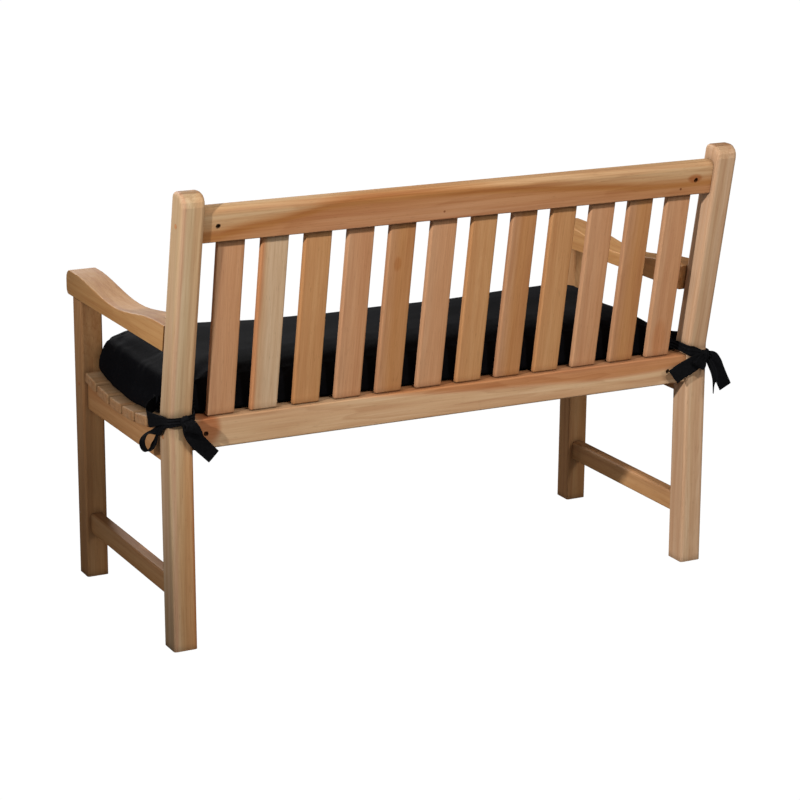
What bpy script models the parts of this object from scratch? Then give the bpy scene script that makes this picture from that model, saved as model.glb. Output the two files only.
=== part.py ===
"""A filled bench cushion tied to the rear posts of a two-seat wooden garden bench.

Metres, +Z up. The bench faces -Y and its left end, seen from behind, is at +X. While the
pieces are made, X is measured from the middle of the bench and Y from midway between its
feet. At the end one empty carries them all so that the middle of the whole thing's box,
on the floor, is the origin.
"""

import math

import bmesh
import bpy
import numpy as np
from mathutils import Vector

GAP = 0.0003  # what touching pieces keep between them

# The bench as a whole
HALF_WIDTH = 0.600  # to the outer faces of the posts
FRONT = -0.2555  # front faces of the front legs
REAR = 0.2555  # rear faces of the rear posts, at the floor
TOP = 0.899  # tops of the rear posts

# Posts and legs
POST_WIDTH = 0.048
POST_DEPTH = 0.050
POST_LEAN = 0.0183  # how far the lower post leans forward for each metre up
BEND = 0.462  # height where the rear posts bend back
RAKE = 0.1875  # how far the upper post leans back for each metre up
POST_TOP_REAR_RADIUS = 0.022
POST_TOP_FRONT_RADIUS = 0.012
POST_EDGE = 0.008  # rear edges, above the bend
POST_FRONT_EDGE = 0.003  # front edges, above the bend
LEG_WIDTH = 0.046
LEG_DEPTH = 0.046
LEG_EDGE = 0.004

# Arms
ARM_BOTTOM = 0.5855
ARM_HIGH = 0.637  # top of the arm at its nose and at the post
ARM_DIP = 0.615  # top of the arm at its lowest
ARM_DIP_Y = -0.030
ARM_FRONT_RUN = 0.230  # from the dip forward to where the top is level again
ARM_REAR_RUN = 0.220
ARM_NOSE = -0.2905
ARM_OUTSIDE = 0.600  # flush with the posts
ARM_WIDTH = 0.058
ARM_EDGE = 0.008
ARM_LOWER_EDGE = 0.003

# Back
TOP_RAIL_LOW = 0.8005  # lower and upper edges of its rear face
TOP_RAIL_HIGH = 0.8665
TOP_RAIL_DEPTH = 0.030
TOP_RAIL_SET_IN = 0.0085  # from the rear faces of the posts
LOW_RAIL_LOW = 0.3925
LOW_RAIL_HIGH = 0.4516
LOW_RAIL_DEPTH = 0.042
LOW_RAIL_SET_IN = 0.005
BACK_SLATS = 12
BACK_SLAT_WIDTH = 0.0555
BACK_SLAT_THICK = 0.013
BACK_SLAT_PITCH = 0.0887
BACK_SLAT_FOOT_IN = 0.014  # from the rear faces of the posts, at the foot and at the head
BACK_SLAT_HEAD_IN = 0.020
SLAT_EDGE = 0.003

# Seat
SEAT_LOWEST = 0.4235  # top of the slats at the bottom of the dish
SEAT_LOWEST_Y = -0.020
SEAT_DISH_RADIUS = 0.893
SEAT_SLATS = 6
SEAT_SLAT_FRONT = -0.199
SEAT_SLAT_PITCH = 0.0665
SEAT_SLAT_WIDTH = 0.0565
SEAT_SLAT_THICK = 0.020
SEAT_SLAT_HALF = 0.5985
FRONT_SLAT_TOP = 0.4440
FRONT_SLAT_WIDTH = 0.046
SIDE_SET_IN = 0.010  # side rails and stretchers, from the outer faces of the legs
SIDE_THICK = 0.026
SEAT_RAIL_LOW = 0.360
STRETCHER_LOW = 0.095
STRETCHER_HIGH = 0.137
BEARER_LOW = 0.383

# Screw holes in the back rails: how far along each rail from the middle, and how high
HOLE_DIAMETER = 0.010
HOLE_DEPTH = 0.010
TOP_RAIL_HOLES = (("left", 0.5219, 0.8319), ("right", -0.5140, 0.8314))
LOW_RAIL_HOLES = (("left", 0.5240, 0.4230), ("right", -0.5080, 0.4205))

# Cushion
CUSHION_HALF = 0.572  # half its length at the corners
END_BOW = 0.005  # how much further the foot of each end reaches at its middle
CUSHION_FRONT = -0.243
CUSHION_REAR = 0.207
BOXING_FRONT = 0.057  # height of the side panel along the front and along the rear
BOXING_REAR = 0.063
FULL_END = 0.018  # how much higher it stands at the middle of the left end
TIED_DROP = 0.028  # how far the ties pull the right rear corner down
CROWN = 0.038
CROWN_RUN = 0.160  # from a seam to where the crown is full
CLEAR_OF_WOOD = 0.0024  # cushion to a post or leg beside it

# How much the front of the cushion sags at places along it: (x, lowered)
SAG = (
    (-0.560, -0.001),
    (-0.525, -0.0005),
    (-0.490, 0.0055),
    (-0.455, 0.0088),
    (-0.430, 0.0098),
    (-0.340, 0.0118),
    (-0.240, 0.0132),
    (-0.150, 0.0130),
    (-0.060, 0.0120),
    (0.040, 0.0118),
    (0.160, 0.0136),
    (0.254, 0.0100),
    (0.360, 0.0045),
    (0.500, -0.0020),
)

# Ties
TAPE_THICK = 0.0015
TAPE = 0.030
GATHERED = 0.017  # its width where it is pulled tight

ARC_STEPS = 4  # straight steps in each rounded corner


def clear_scene():
    for thing in list(bpy.data.objects):
        bpy.data.objects.remove(thing, do_unlink=True)


def material(name, colour, roughness):
    made = bpy.data.materials.new(name)
    made.use_nodes = True
    shader = made.node_tree.nodes["Principled BSDF"]
    shader.inputs["Base Color"].default_value = (*colour, 1.0)
    shader.inputs["Roughness"].default_value = roughness
    shader.inputs["Metallic"].default_value = 0.0
    made.diffuse_color = (*colour, 1.0)
    return made


def rear_face(z):
    """Y of the rear faces of the rear posts at this height."""
    lower = REAR - POST_LEAN * min(z, BEND)
    return lower + RAKE * max(z - BEND, 0.0)


def front_face(z):
    return rear_face(z) - POST_DEPTH


def seat(y):
    """Height of the dished seat at this depth."""
    return SEAT_LOWEST + (y - SEAT_LOWEST_Y) ** 2 / (2 * SEAT_DISH_RADIUS)


def eased(t):
    t = min(max(t, 0.0), 1.0)
    return t * t * (3 - 2 * t)


def rounded(corners, steps=ARC_STEPS):
    """A closed outline through the corners (a, b, radius), each rounded by an arc."""
    points = []
    for i, (a, b, radius) in enumerate(corners):
        here = np.array((a, b))
        before = np.array(corners[i - 1][:2]) - here
        after = np.array(corners[(i + 1) % len(corners)][:2]) - here
        if radius <= 0:
            points.append(tuple(here))
            continue
        before /= np.linalg.norm(before)
        after /= np.linalg.norm(after)
        half_turn = math.acos(float(np.clip(before @ after, -1, 1))) / 2
        along = radius / math.tan(half_turn)
        middle = here + (before + after) / np.linalg.norm(before + after) * radius / math.sin(half_turn)
        start = here + before * along - middle
        end = here + after * along - middle
        sweep = math.pi - 2 * half_turn
        for step in range(steps + 1):
            t = step / steps
            mixed = (math.sin((1 - t) * sweep) * start + math.sin(t * sweep) * end) / math.sin(sweep)
            points.append(tuple(middle + mixed))
    return points


def new_object(name, mesh, finish):
    made = bpy.data.objects.new(name, mesh)
    mesh.materials.append(finish)
    bpy.context.scene.collection.objects.link(made)
    return made


def extruded(name, outline, axis, low, high, finish, edge=0.0, edge_steps=2):
    """A board: a closed outline in the plane across X, Y or Z, drawn out from low to high.

    The outline's pairs are (y, z) across X, (x, z) across Y and (x, y) across Z.
    """
    shape = bmesh.new()
    place = {
        "x": lambda a, b, at: (at, a, b),
        "y": lambda a, b, at: (a, at, b),
        "z": lambda a, b, at: (a, b, at),
    }[axis]
    ring = [shape.verts.new(place(a, b, low)) for a, b in outline]
    face = shape.faces.new(ring)
    drawn = bmesh.ops.extrude_face_region(shape, geom=[face])
    moved = [item for item in drawn["geom"] if isinstance(item, bmesh.types.BMVert)]
    bmesh.ops.translate(shape, verts=moved, vec=Vector(place(0, 0, high - low)))
    bmesh.ops.recalc_face_normals(shape, faces=shape.faces)
    mesh = bpy.data.meshes.new(name)
    shape.to_mesh(mesh)
    shape.free()
    made = new_object(name, mesh, finish)
    if edge > 0:
        ease_edges(made, edge, edge_steps)
    mesh.shade_smooth()
    mesh.set_sharp_from_angle(angle=math.radians(40))
    return made


def ease_long_edges(made, width, weight_at):
    """Rounds only the edges along the board's outline, each by its own share of the width."""
    mesh = made.data
    weights = mesh.attributes.new("bevel_weight_edge", "FLOAT", "EDGE")
    for edge in mesh.edges:
        ends = [mesh.vertices[i].co for i in edge.vertices]
        if abs(ends[0].x - ends[1].x) < 1e-6:
            weights.data[edge.index].value = weight_at(*sorted(ends, key=lambda end: end.z))
    bevel = made.modifiers.new("eased edges", "BEVEL")
    bevel.width = width
    bevel.segments = 3
    bevel.limit_method = "WEIGHT"


def ease_edges(made, width, steps):
    bevel = made.modifiers.new("eased edges", "BEVEL")
    bevel.width = width
    bevel.segments = steps
    bevel.limit_method = "ANGLE"
    bevel.angle_limit = math.radians(40)
    bevel.use_clamp_overlap = True


def cut(made, cutter):
    """Takes the cutter out of a piece; the cutter stays as a hidden guide."""
    cutter.hide_render = True
    cutter.display_type = "WIRE"
    boolean = made.modifiers.new("hole", "BOOLEAN")
    boolean.operation = "DIFFERENCE"
    boolean.solver = "EXACT"
    boolean.object = cutter


def hole_cutter(name, x, y, z, tilt):
    """A short round cutter whose mouth is on a rear face tilted by this angle."""
    shape = bmesh.new()
    bmesh.ops.create_cone(
        shape,
        cap_ends=True,
        segments=12,
        radius1=HOLE_DIAMETER / 2,
        radius2=HOLE_DIAMETER / 2,
        depth=2 * HOLE_DEPTH,
    )
    mesh = bpy.data.meshes.new(name)
    shape.to_mesh(mesh)
    shape.free()
    made = bpy.data.objects.new(name, mesh)
    bpy.context.scene.collection.objects.link(made)
    made.location = (x, y, z)
    made.rotation_euler = (math.radians(90) + tilt, 0, 0)
    return made


# ---------------------------------------------------------------- the bench


def rear_post(name, side, finish):
    outer = rear_face(TOP)
    inner = front_face(TOP)
    corners = [
        (front_face(0), 0.0, 0),
        (rear_face(0), 0.0, 0),
        (rear_face(BEND), BEND, 0),
        (outer, TOP, POST_TOP_REAR_RADIUS),
        (inner, TOP, POST_TOP_FRONT_RADIUS),
        (front_face(BEND), BEND, 0),
    ]
    low, high = sorted((side * (HALF_WIDTH - POST_WIDTH), side * HALF_WIDTH))
    post = extruded(name, rounded(corners), "x", low, high, finish)

    def weight(lower, upper):
        if upper.z < 0.01:
            return 0.0
        if lower.z < BEND - 1e-6:
            return LEG_EDGE / POST_EDGE
        in_front = upper.z < TOP - 0.01 and lower.y < rear_face(lower.z) - POST_DEPTH / 2
        return POST_FRONT_EDGE / POST_EDGE if in_front else 1.0

    ease_long_edges(post, POST_EDGE, weight)
    return post


def front_leg(name, side, finish):
    low, high = sorted((side * (HALF_WIDTH - LEG_WIDTH), side * HALF_WIDTH))
    corners = [
        (low, FRONT, LEG_EDGE),
        (high, FRONT, LEG_EDGE),
        (high, FRONT + LEG_DEPTH, LEG_EDGE),
        (low, FRONT + LEG_DEPTH, LEG_EDGE),
    ]
    return extruded(name, rounded(corners, 2), "z", 0.0, ARM_BOTTOM - GAP, finish)


def arm_top(y):
    """Height of the arm's top: level at the nose, dished behind it, up again to the post."""
    run = ARM_FRONT_RUN if y < ARM_DIP_Y else ARM_REAR_RUN
    share = min(abs(y - ARM_DIP_Y) / run, 1.0)
    return ARM_DIP + (ARM_HIGH - ARM_DIP) * (0.5 - 0.5 * math.cos(math.pi * share))


def arm(name, side, finish):
    low, high = sorted((side * (ARM_OUTSIDE - ARM_WIDTH), side * ARM_OUTSIDE))
    rear = front_face(ARM_BOTTOM) - GAP
    rear_top = front_face(ARM_HIGH) - GAP
    nose = [(ARM_NOSE, ARM_BOTTOM, 0.012), (rear, ARM_BOTTOM, 0), (rear_top, arm_top(rear_top), 0)]
    dish = [(y, arm_top(y), 0) for y in np.linspace(0.17, -0.235, 15)]
    outline = rounded(nose + dish + [(ARM_NOSE, ARM_HIGH, 0.020)])
    made = extruded(name, outline, "x", low, high, finish)

    def weight(lower, upper):
        if min(lower.y, upper.y) > rear - 0.001:
            return 0.0
        return ARM_LOWER_EDGE / ARM_EDGE if upper.z < ARM_BOTTOM + 0.004 else 1.0

    ease_long_edges(made, ARM_EDGE, weight)
    return made


def top_rail(finish):
    half = HALF_WIDTH - POST_WIDTH - GAP
    low_y = rear_face(TOP_RAIL_LOW) - TOP_RAIL_SET_IN
    high_y = rear_face(TOP_RAIL_HIGH) - TOP_RAIL_SET_IN
    tilt = math.atan(RAKE)
    inward = np.array((-math.cos(tilt), math.sin(tilt))) * TOP_RAIL_DEPTH
    low_rear = np.array((low_y, TOP_RAIL_LOW))
    high_rear = np.array((high_y, TOP_RAIL_HIGH))
    corners = [
        (*low_rear, 0.003),
        (*high_rear, 0.012),
        (*(high_rear + inward), 0.010),
        (*(low_rear + inward), 0.003),
    ]
    rail = extruded("top_rail", rounded(corners), "x", -half, half, finish)
    for word, x, z in TOP_RAIL_HOLES:
        cut(rail, hole_cutter("top_hole_" + word, x, rear_face(z) - TOP_RAIL_SET_IN, z, -tilt))
    return rail


def lower_back_rail(finish):
    half = HALF_WIDTH - POST_WIDTH - GAP
    rear = rear_face(LOW_RAIL_LOW) - LOW_RAIL_SET_IN
    front = rear - LOW_RAIL_DEPTH
    corners = [
        (front, LOW_RAIL_LOW, 0.003),
        (rear, LOW_RAIL_LOW, 0.004),
        (rear, LOW_RAIL_HIGH, 0.003),
        (front, LOW_RAIL_HIGH, 0.004),
    ]
    rail = extruded("lower_back_rail", rounded(corners), "x", -half, half, finish)
    for word, x, z in LOW_RAIL_HOLES:
        cut(rail, hole_cutter("low_hole_" + word, x, rear, z, 0.0))
    return rail


def back_slats(finish):
    """Flat boards from the lower rail's top to the top rail's underside, near the posts' rake."""
    tilt = math.atan(RAKE)
    thick = BACK_SLAT_THICK / math.cos(tilt)
    foot = LOW_RAIL_HIGH + GAP

    def rear_line(z):
        share = (z - LOW_RAIL_HIGH) / (TOP_RAIL_LOW - LOW_RAIL_HIGH)
        set_in = BACK_SLAT_FOOT_IN + (BACK_SLAT_HEAD_IN - BACK_SLAT_FOOT_IN) * share
        return rear_face(BEND) + RAKE * (z - BEND) - set_in

    rail_corner = np.array((rear_face(TOP_RAIL_LOW) - TOP_RAIL_SET_IN, TOP_RAIL_LOW - GAP))
    underside = math.tan(tilt)  # the top rail's underside rises this much for each metre forward

    def head(offset):
        """Where a line parallel to the rake, this far forward of the slat's rear, meets the rail."""
        z = TOP_RAIL_LOW
        for _ in range(20):
            z = rail_corner[1] + (rail_corner[0] - (rear_line(z) - offset)) * underside
        return (rear_line(z) - offset, z)

    outline = [
        (rear_line(foot) - thick, foot),
        (rear_line(foot), foot),
        head(0.0),
        head(thick),
    ]
    first = (BACK_SLATS - 1) / 2 * BACK_SLAT_PITCH
    made = []
    for i in range(BACK_SLATS):
        middle = first - i * BACK_SLAT_PITCH
        low, high = middle - BACK_SLAT_WIDTH / 2, middle + BACK_SLAT_WIDTH / 2
        name = f"back_slat_{i + 1:02d}"
        made.append(extruded(name, outline, "x", low, high, finish, SLAT_EDGE))
    return made


def slat_outline(middle, width, top, slope):
    """The four corners (y, z) of a slat whose top middle is here and which leans by slope."""
    angle = math.atan(slope)
    along = np.array((math.cos(angle), math.sin(angle))) * width / 2
    down = np.array((math.sin(angle), -math.cos(angle))) * SEAT_SLAT_THICK
    centre = np.array((middle, top))
    return [centre - along + down, centre + along + down, centre + along, centre - along]


def seat_slats(finish):
    """The long slats over the side rails; returns the outlines that the rails are shaped to."""
    outlines = []
    for i in range(SEAT_SLATS):
        middle = SEAT_SLAT_FRONT + SEAT_SLAT_WIDTH / 2 + i * SEAT_SLAT_PITCH
        slope = (middle - SEAT_LOWEST_Y) / SEAT_DISH_RADIUS
        outline = slat_outline(middle, SEAT_SLAT_WIDTH, seat(middle), slope)
        name = f"seat_slat_{i + 1}"
        extruded(name, outline, "x", -SEAT_SLAT_HALF, SEAT_SLAT_HALF, finish, SLAT_EDGE)
        outlines.append(outline)
    return outlines


def under_slats(outlines, front, rear):
    """The line (y, z) just under the slats, from rear to front, that rails are cut to."""
    line = []
    for outline in reversed(outlines):
        line += [(outline[1][0], outline[1][1] - GAP), (outline[0][0], outline[0][1] - GAP)]
    return [(rear, line[0][1]), *line, (front, line[-1][1])]


def seat_frame(outlines, finish):
    leg_rear = FRONT + LEG_DEPTH + GAP
    post_front = front_face(SEAT_RAIL_LOW) - GAP - POST_LEAN * 0.06
    outer = HALF_WIDTH - SIDE_SET_IN
    top = under_slats(outlines, leg_rear, post_front)
    for side, word in ((1, "left"), (-1, "right")):
        low, high = sorted((side * (outer - SIDE_THICK), side * outer))
        outline = [(leg_rear, SEAT_RAIL_LOW), (post_front, SEAT_RAIL_LOW), *top]
        extruded("side_seat_rail_" + word, outline, "x", low, high, finish, 0.002, 1)
        stretcher = rounded(
            [
                (low, STRETCHER_LOW, 0.004),
                (high, STRETCHER_LOW, 0.004),
                (high, STRETCHER_HIGH, 0.006),
                (low, STRETCHER_HIGH, 0.006),
            ],
            3,
        )
        post_face = front_face(STRETCHER_HIGH) - GAP
        extruded("side_stretcher_" + word, stretcher, "y", leg_rear, post_face, finish)

    half = HALF_WIDTH - LEG_WIDTH - GAP
    middle = FRONT + FRONT_SLAT_WIDTH / 2 - 0.002
    front_outline = slat_outline(middle, FRONT_SLAT_WIDTH, FRONT_SLAT_TOP, 0.0)
    front_corners = [(*front_outline[i], radius) for i, radius in enumerate((0.004, 0.003, 0.003, 0.008))]
    extruded("front_slat", rounded(front_corners, 3), "x", -half, half, finish)
    apron_top = FRONT_SLAT_TOP - SEAT_SLAT_THICK - GAP
    apron_rear = FRONT + 0.006 + SIDE_THICK
    apron = rounded(
        [
            (FRONT + 0.006, SEAT_RAIL_LOW, 0.004),
            (apron_rear, SEAT_RAIL_LOW, 0.004),
            (apron_rear, apron_top, 0.001),
            (FRONT + 0.006, apron_top, 0.001),
        ],
        2,
    )
    extruded("front_apron", apron, "x", -half, half, finish)

    bearer_front = apron_rear + GAP
    bearer_rear = rear_face(LOW_RAIL_LOW) - LOW_RAIL_SET_IN - LOW_RAIL_DEPTH - GAP
    bearer_top = under_slats(outlines, bearer_front, bearer_rear)
    bearer = [(bearer_front, BEARER_LOW), (bearer_rear, BEARER_LOW), *bearer_top]
    extruded("seat_middle_bearer", bearer, "x", -SIDE_THICK / 2, SIDE_THICK / 2, finish, 0.002, 1)


# ---------------------------------------------------------------- the cushion


def cushion_plan(u, v):
    """Where a point of the cushion's square grid lies in plan.

    Its ends are squeezed narrower between the front legs, its rear corners are pressed
    flat by the posts, and its corners are pulled in.
    """
    depth = CUSHION_REAR - CUSHION_FRONT
    y = CUSHION_FRONT + (v + 1) / 2 * depth
    leg_rear = FRONT + LEG_DEPTH
    between_legs = HALF_WIDTH - LEG_WIDTH - CLEAR_OF_WOOD
    past_leg = eased((y - leg_rear - CLEAR_OF_WOOD) / 0.005)
    half = between_legs + (CUSHION_HALF - between_legs) * past_leg
    x = u * half * (1 - 0.006 * abs(v) ** 14)
    before_post = front_face(BEND) - CLEAR_OF_WOOD
    beside_post = eased((abs(x) - (HALF_WIDTH - POST_WIDTH - 0.026)) / 0.022)
    rear = CUSHION_REAR + (before_post - CUSHION_REAR) * beside_post
    y = CUSHION_FRONT + (y - CUSHION_FRONT) * (rear - CUSHION_FRONT) / depth
    return x, y * (1 - 0.020 * abs(u) ** 18)


def crown_share(distance):
    """0 at a seam, 1 once the crown is full."""
    return 1 - max(1 - distance / CROWN_RUN, 0.0) ** 2.2


def panel_height(u, v, x):
    """Height of the top seam over the seat, which the crown is added to."""
    height = BOXING_FRONT + (BOXING_REAR - BOXING_FRONT) * eased((v + 1) / 0.7)
    sag = np.interp(x, [row[0] for row in SAG], [row[1] for row in SAG])
    height -= sag * (1 - eased((v + 0.6) / 1.2))
    height -= TIED_DROP * max(-u, 0.0) ** 8 * max(v, 0.0) ** 2
    return height + FULL_END * (1 - abs(v) ** 2.5) * max(u, 0.0) ** 8


def cushion_point(u, v, w):
    """A point of the cushion's skin: w runs from 0 at the bottom seam to 1 at the top seam."""
    x, y = cushion_plan(u, v)
    base = seat(max(y, FRONT + 0.042)) + 0.0005
    if y > rear_face(LOW_RAIL_HIGH) - LOW_RAIL_SET_IN - LOW_RAIL_DEPTH:
        base = max(base, LOW_RAIL_HIGH + 0.0005)
    height = panel_height(u, v, x) * w
    lean = 0.005 * (1 - w) ** 6 + 0.013 * w**3
    bow = END_BOW * (1 - v * v) * (1 - w) * abs(u) ** 6
    return x + (bow - lean) * u, y - lean * 0.7 * v, base + height


def cushion(finish):
    """One filled solid: a crowned top and a flat-lying bottom joined by the side panel."""
    ends = [1 - step for step in (0.0, 0.006, 0.018, 0.035, 0.065, 0.12, 0.20, 0.31, 0.45, 0.60, 0.80)]
    across = [-u for u in ends] + [0.0] + ends[::-1]
    depth = CUSHION_REAR - CUSHION_FRONT
    edges = [step * 2 / depth - 1 for step in (0.0, 0.006, 0.016, 0.030, 0.0365, 0.042, 0.050, 0.075, 0.12)]
    along = [*edges, -0.2, 0.05, 0.3, 0.52, 0.70, 0.82, 0.90, 0.95, 0.98, 1.0]
    heights = [0.0, 0.10, 0.28, 0.5, 0.72, 0.90, 1.0]
    shape = bmesh.new()
    columns, rows = len(across), len(along)
    rim = (
        [(i, 0) for i in range(columns)]
        + [(columns - 1, j) for j in range(1, rows)]
        + [(i, rows - 1) for i in range(columns - 2, -1, -1)]
        + [(0, j) for j in range(rows - 2, 0, -1)]
    )
    top, bottom = {}, {}
    for i, u in enumerate(across):
        for j, v in enumerate(along):
            x, y, z = cushion_point(u, v, 1.0)
            from_end = (1 - abs(u)) * CUSHION_HALF
            from_side = (1 - abs(v)) * depth / 2
            lift = CROWN * crown_share(from_end) * crown_share(from_side)
            top[i, j] = shape.verts.new((x, y, z + lift))
            bottom[i, j] = shape.verts.new(cushion_point(u, v, 0.0))
    for i in range(columns - 1):
        for j in range(rows - 1):
            around = ((i, j), (i + 1, j), (i + 1, j + 1), (i, j + 1))
            shape.faces.new([top[key] for key in around])
            shape.faces.new([bottom[key] for key in reversed(around)])
    levels = [{key: bottom[key] for key in rim}]
    for w in heights[1:-1]:
        level = {}
        for i, j in rim:
            level[i, j] = shape.verts.new(cushion_point(across[i], along[j], w))
        levels.append(level)
    levels.append({key: top[key] for key in rim})
    for lower, upper in zip(levels, levels[1:]):
        for here, following in zip(rim, rim[1:] + rim[:1]):
            shape.faces.new([lower[here], lower[following], upper[following], upper[here]])
    bmesh.ops.recalc_face_normals(shape, faces=shape.faces)
    mesh = bpy.data.meshes.new("cushion")
    shape.to_mesh(mesh)
    shape.free()
    mesh.shade_smooth()
    mesh.set_sharp_from_angle(angle=math.radians(50))
    return new_object("cushion", mesh, finish)


# ---------------------------------------------------------------- the ties

UP = (0.0, 0.0, 1.0)
SIDEWAYS = (0.0, -1.0, -0.35)
TURNED = (-0.8, 0.5, -0.3)


def smooth_path(rows, per_span):
    """Rows of numbers read at even steps from a smooth curve through them."""
    table = np.array(rows, float)
    padded = np.vstack((2 * table[0] - table[1], table, 2 * table[-1] - table[-2]))
    read = []
    for i in range(1, len(padded) - 2):
        before, here, following, later = padded[i - 1 : i + 3]
        for step in range(per_span):
            t = step / per_span
            read.append(
                0.5
                * (
                    2 * here
                    + (following - before) * t
                    + (2 * before - 5 * here + 4 * following - later) * t**2
                    + (3 * here - before - 3 * following + later) * t**3
                )
            )
    read.append(table[-1])
    return np.array(read)


def tape(name, rows, finish, per_span=3):
    """A flat tape swept along rows of (x, y, z, width, across x, across y, across z)."""
    path = smooth_path(rows, per_span)
    centres = path[:, :3]
    widths = path[:, 3]
    across = path[:, 4:]
    forward = np.gradient(centres, axis=0)
    across /= np.linalg.norm(across, axis=1)[:, None]
    normal = np.cross(forward, across)
    normal /= np.linalg.norm(normal, axis=1)[:, None]
    shape = bmesh.new()
    rings = []
    for centre, width, wide, thick in zip(centres, widths, across, normal):
        corners = ((-1, -1), (1, -1), (1, 1), (-1, 1))
        rings.append(
            [
                shape.verts.new(centre + wide * a * width / 2 + thick * b * TAPE_THICK / 2)
                for a, b in corners
            ]
        )
    for ring, following in zip(rings, rings[1:]):
        for k in range(4):
            shape.faces.new([ring[k], ring[(k + 1) % 4], following[(k + 1) % 4], following[k]])
    shape.faces.new(rings[0][::-1])
    shape.faces.new(rings[-1])
    bmesh.ops.recalc_face_normals(shape, faces=shape.faces)
    mesh = bpy.data.meshes.new(name)
    shape.to_mesh(mesh)
    shape.free()
    return new_object(name, mesh, finish)


def knot(name, centre, size, finish):
    """A pinched lump of wound tape."""
    shape = bmesh.new()
    bmesh.ops.create_uvsphere(shape, u_segments=14, v_segments=9, radius=0.5)
    for vert in shape.verts:
        square = Vector([math.copysign(abs(2 * value) ** 0.75, value) / 2 for value in vert.co])
        vert.co = Vector([c + s * value for c, s, value in zip(centre, size, square)])
    mesh = bpy.data.meshes.new(name)
    shape.to_mesh(mesh)
    shape.free()
    return new_object(name, mesh, finish)


def fuse(made, others):
    """Makes one body of a tape, its knot and its ends."""
    for other in others:
        other.hide_render = True
        other.display_type = "WIRE"
        boolean = made.modifiers.new("fused", "BOOLEAN")
        boolean.operation = "UNION"
        boolean.solver = "EXACT"
        boolean.object = other
    return made


def row(x, y, z, width=TAPE, across=UP):
    return (x, y, z, width, *across)


def left_ties(finish):
    """One tape round the outside of the left post, knotted behind it with a short loop over
    a long tail; the other runs under it and ends in a loop that droops outside the post.
    """
    outer = tape(
        "tie_left_outer",
        [
            row(0.5762, 0.1150, 0.4600, 0.028),
            row(0.5784, 0.1280, 0.4600, 0.028),
            row(0.5880, 0.1400, 0.4600, 0.028),
            row(0.5990, 0.1490, 0.4590, 0.028),
            row(0.6085, 0.1600, 0.4500, TAPE, (0.15, 0.0, 1.0)),
            row(0.6120, 0.1740, 0.4450, 0.031, (0.1, 0.0, 1.0)),
            row(0.6120, 0.1890, 0.4465, 0.029),
            row(0.6105, 0.2040, 0.4500, 0.025),
            row(0.6088, 0.2170, 0.4530, 0.021),
            row(0.6070, 0.2300, 0.4560, 0.018),
            row(0.6060, 0.2420, 0.4575, GATHERED),
            row(0.6026, 0.2512, 0.4575, GATHERED),
            row(0.5930, 0.2540, 0.4570, GATHERED),
            row(0.5820, 0.2546, 0.4565, GATHERED),
            row(0.5740, 0.2575, 0.4560, GATHERED),
        ],
        finish,
    )
    lower_right = (0.707, 0.0, -0.707)
    tail = tape(
        "left_tail",
        [
            row(0.5710, 0.2570, 0.4540, 0.018, lower_right),
            row(0.5645, 0.2580, 0.4380, 0.027, lower_right),
            row(0.5520, 0.2590, 0.4200, 0.031, lower_right),
            row(0.5345, 0.2570, 0.4005, TAPE, lower_right),
            row(0.5150, 0.2580, 0.3810, 0.029, lower_right),
        ],
        finish,
    )
    loop = tape(
        "left_loop",
        [
            row(0.5715, 0.2605, 0.4575, 0.017, (-0.93, 0.0, 0.36)),
            row(0.5675, 0.2680, 0.4575, 0.022, (-0.95, 0.0, 0.20)),
            row(0.5630, 0.2722, 0.4505, 0.028, (-0.95, 0.0, -0.15)),
            row(0.5600, 0.2722, 0.4415, 0.036, (-0.93, 0.0, -0.37)),
            row(0.5592, 0.2692, 0.4352, 0.040, (-0.93, 0.0, -0.37)),
            row(0.5605, 0.2662, 0.4385, 0.038, (-0.93, 0.0, -0.37)),
            row(0.5640, 0.2635, 0.4455, 0.029, (-0.95, 0.0, -0.20)),
            row(0.5705, 0.2600, 0.4515, 0.016, (-0.95, 0.0, 0.10)),
        ],
        finish,
    )
    pinch = knot("left_knot", (0.5725, 0.2602, 0.4560), (0.017, 0.0140, 0.024), finish)
    fuse(outer, [pinch, tail, loop])

    tape(
        "tie_left_inner",
        [
            row(0.5300, 0.2044, 0.4740, GATHERED),
            row(0.5385, 0.2085, 0.4735, GATHERED),
            row(0.5455, 0.2180, 0.4710, GATHERED),
            row(0.5486, 0.2300, 0.4680, GATHERED),
            row(0.5490, 0.2425, 0.4640, GATHERED),
            row(0.5530, 0.2508, 0.4600, GATHERED),
            row(0.5660, 0.2514, 0.4575, GATHERED),
            row(0.5790, 0.2514, 0.4560, GATHERED),
            row(0.5905, 0.2510, 0.4550, GATHERED),
            row(0.6000, 0.2498, 0.4540, GATHERED),
            row(0.6036, 0.2405, 0.4520, GATHERED),
            row(0.6036, 0.2290, 0.4465, 0.018, (0.0, -0.25, 1.0)),
            row(0.6042, 0.2165, 0.4365, 0.020, (0.0, -0.6, 0.8)),
            row(0.6075, 0.2020, 0.4260, 0.023, (0.0, -0.95, 0.3)),
            row(0.6195, 0.1830, 0.4185, 0.027, SIDEWAYS),
            row(0.6255, 0.1770, 0.4060, TAPE, SIDEWAYS),
            row(0.6235, 0.1740, 0.3910, TAPE, SIDEWAYS),
            row(0.6155, 0.1740, 0.3815, TAPE, SIDEWAYS),
            row(0.6082, 0.1790, 0.3880, TAPE, SIDEWAYS),
            row(0.6055, 0.1860, 0.4010, 0.028, SIDEWAYS),
            row(0.6042, 0.1910, 0.4120, 0.022, (0.0, -1.0, -0.50)),
            row(0.6030, 0.1950, 0.4200, 0.017, (0.0, -0.9, -0.60)),
        ],
        finish,
    )


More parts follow.
